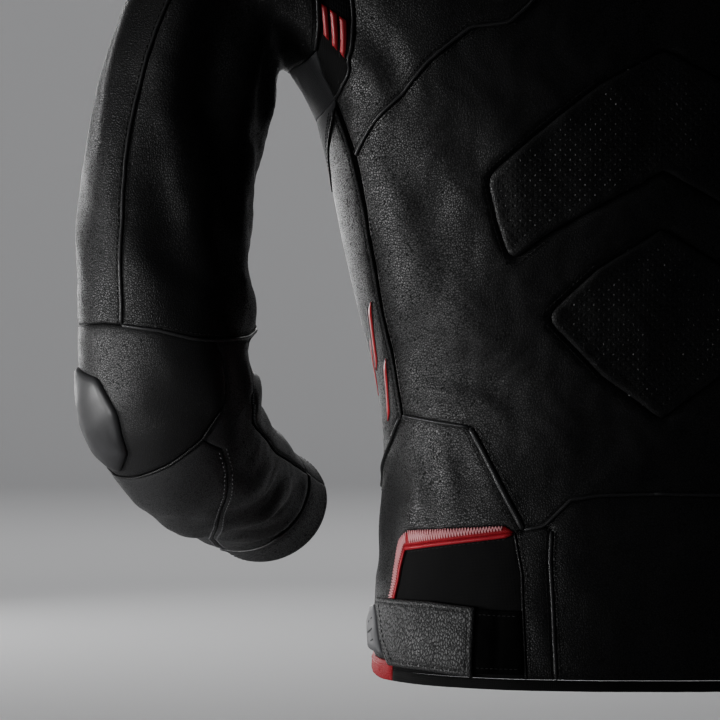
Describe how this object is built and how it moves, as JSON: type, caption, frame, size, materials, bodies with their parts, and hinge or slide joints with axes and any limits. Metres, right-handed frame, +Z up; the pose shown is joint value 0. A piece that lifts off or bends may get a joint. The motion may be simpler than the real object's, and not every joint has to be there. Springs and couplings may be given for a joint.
{
  "type": "motorcycle jacket",
  "caption": "Black leather motorcycle racing jacket in its worn shape, with bent sleeves, stretch panels, padded elbows and waist straps.",
  "frame": {"origin": "base of the neck, midway between the shoulders, where the wearer carries the jacket", "axes": "+Z up, front towards -Y, the wearer's left towards +X"},
  "size_m": [0.7402, 0.2983, 0.6793],
  "materials": {
    "black_leather": "grained, semi-matt",
    "red_leather": "grained, semi-matt",
    "stretch_cloth": "smooth stretch knit",
    "black_cloth": "matt",
    "black_rubber": "moulded, matt",
    "black_metal": "satin black"
  },
  "bodies": {
    "jacket": {"back_yoke": "black_leather", "back": "black_leather", "perforated_insert_upper": "black_leather", "perforated_insert_lower": "black_leather", "low_back": "black_leather", "hem_band": "black_cloth", "collar": "black_leather", "zip_slider": "black_metal", "side_line_left": "black_cloth", "side_line_right": "black_cloth", "side_left": "black_leather", "side_right": "black_leather", "side_stretch_left": "stretch_cloth", "side_stretch_right": "stretch_cloth", "hip_left": "black_leather", "hip_right": "black_leather", "hip_trim_left": "red_leather", "hip_trim_right": "red_leather", "waist_stretch_left": "black_cloth", "waist_stretch_right": "black_cloth", "low_strip_left": "black_leather", "low_strip_right": "black_leather", "hem_side_left": "red_leather", "hem_side_right": "red_leather", "front_left": "black_leather", "front_right": "black_leather", "front_zip_left": "black_cloth", "front_zip_right": "black_cloth", "waist_strap_left": "black_leather", "waist_strap_right": "black_leather", "strap_elastic_left": "black_cloth", "strap_elastic_right": "black_cloth", "strap_tab_left": "black_rubber", "strap_tab_right": "black_rubber", "shoulder_stretch_left": "black_cloth", "shoulder_stretch_right": "black_cloth", "underarm_gusset_left": "stretch_cloth", "underarm_gusset_right": "stretch_cloth", "upper_sleeve_back_left": "black_leather", "upper_sleeve_back_right": "black_leather", "upper_sleeve_front_left": "black_leather", "upper_sleeve_front_right": "black_leather", "elbow_left": "black_leather", "elbow_right": "black_leather", "elbow_cup_left": "black_rubber", "elbow_cup_right": "black_rubber", "forearm_back_left": "black_leather", "forearm_back_right": "black_leather", "forearm_inner_left": "black_leather", "forearm_inner_right": "black_leather", "forearm_front_left": "black_leather", "forearm_front_right": "black_leather", "cuff_zip_left": "black_cloth", "cuff_zip_right": "black_cloth", "cuff_left": "black_leather", "cuff_right": "black_leather"},
    "zip_pull": {"zip_pull": "black_metal"}
  },
  "joints": [
    {"name": "zip_pull_hinge", "type": "hinge", "parent": "jacket", "child": "zip_pull", "pos_m": [0, -0.08939, -0.08918], "axis": [-1, 0, 0], "range_deg": [0, 150]}
  ]
}
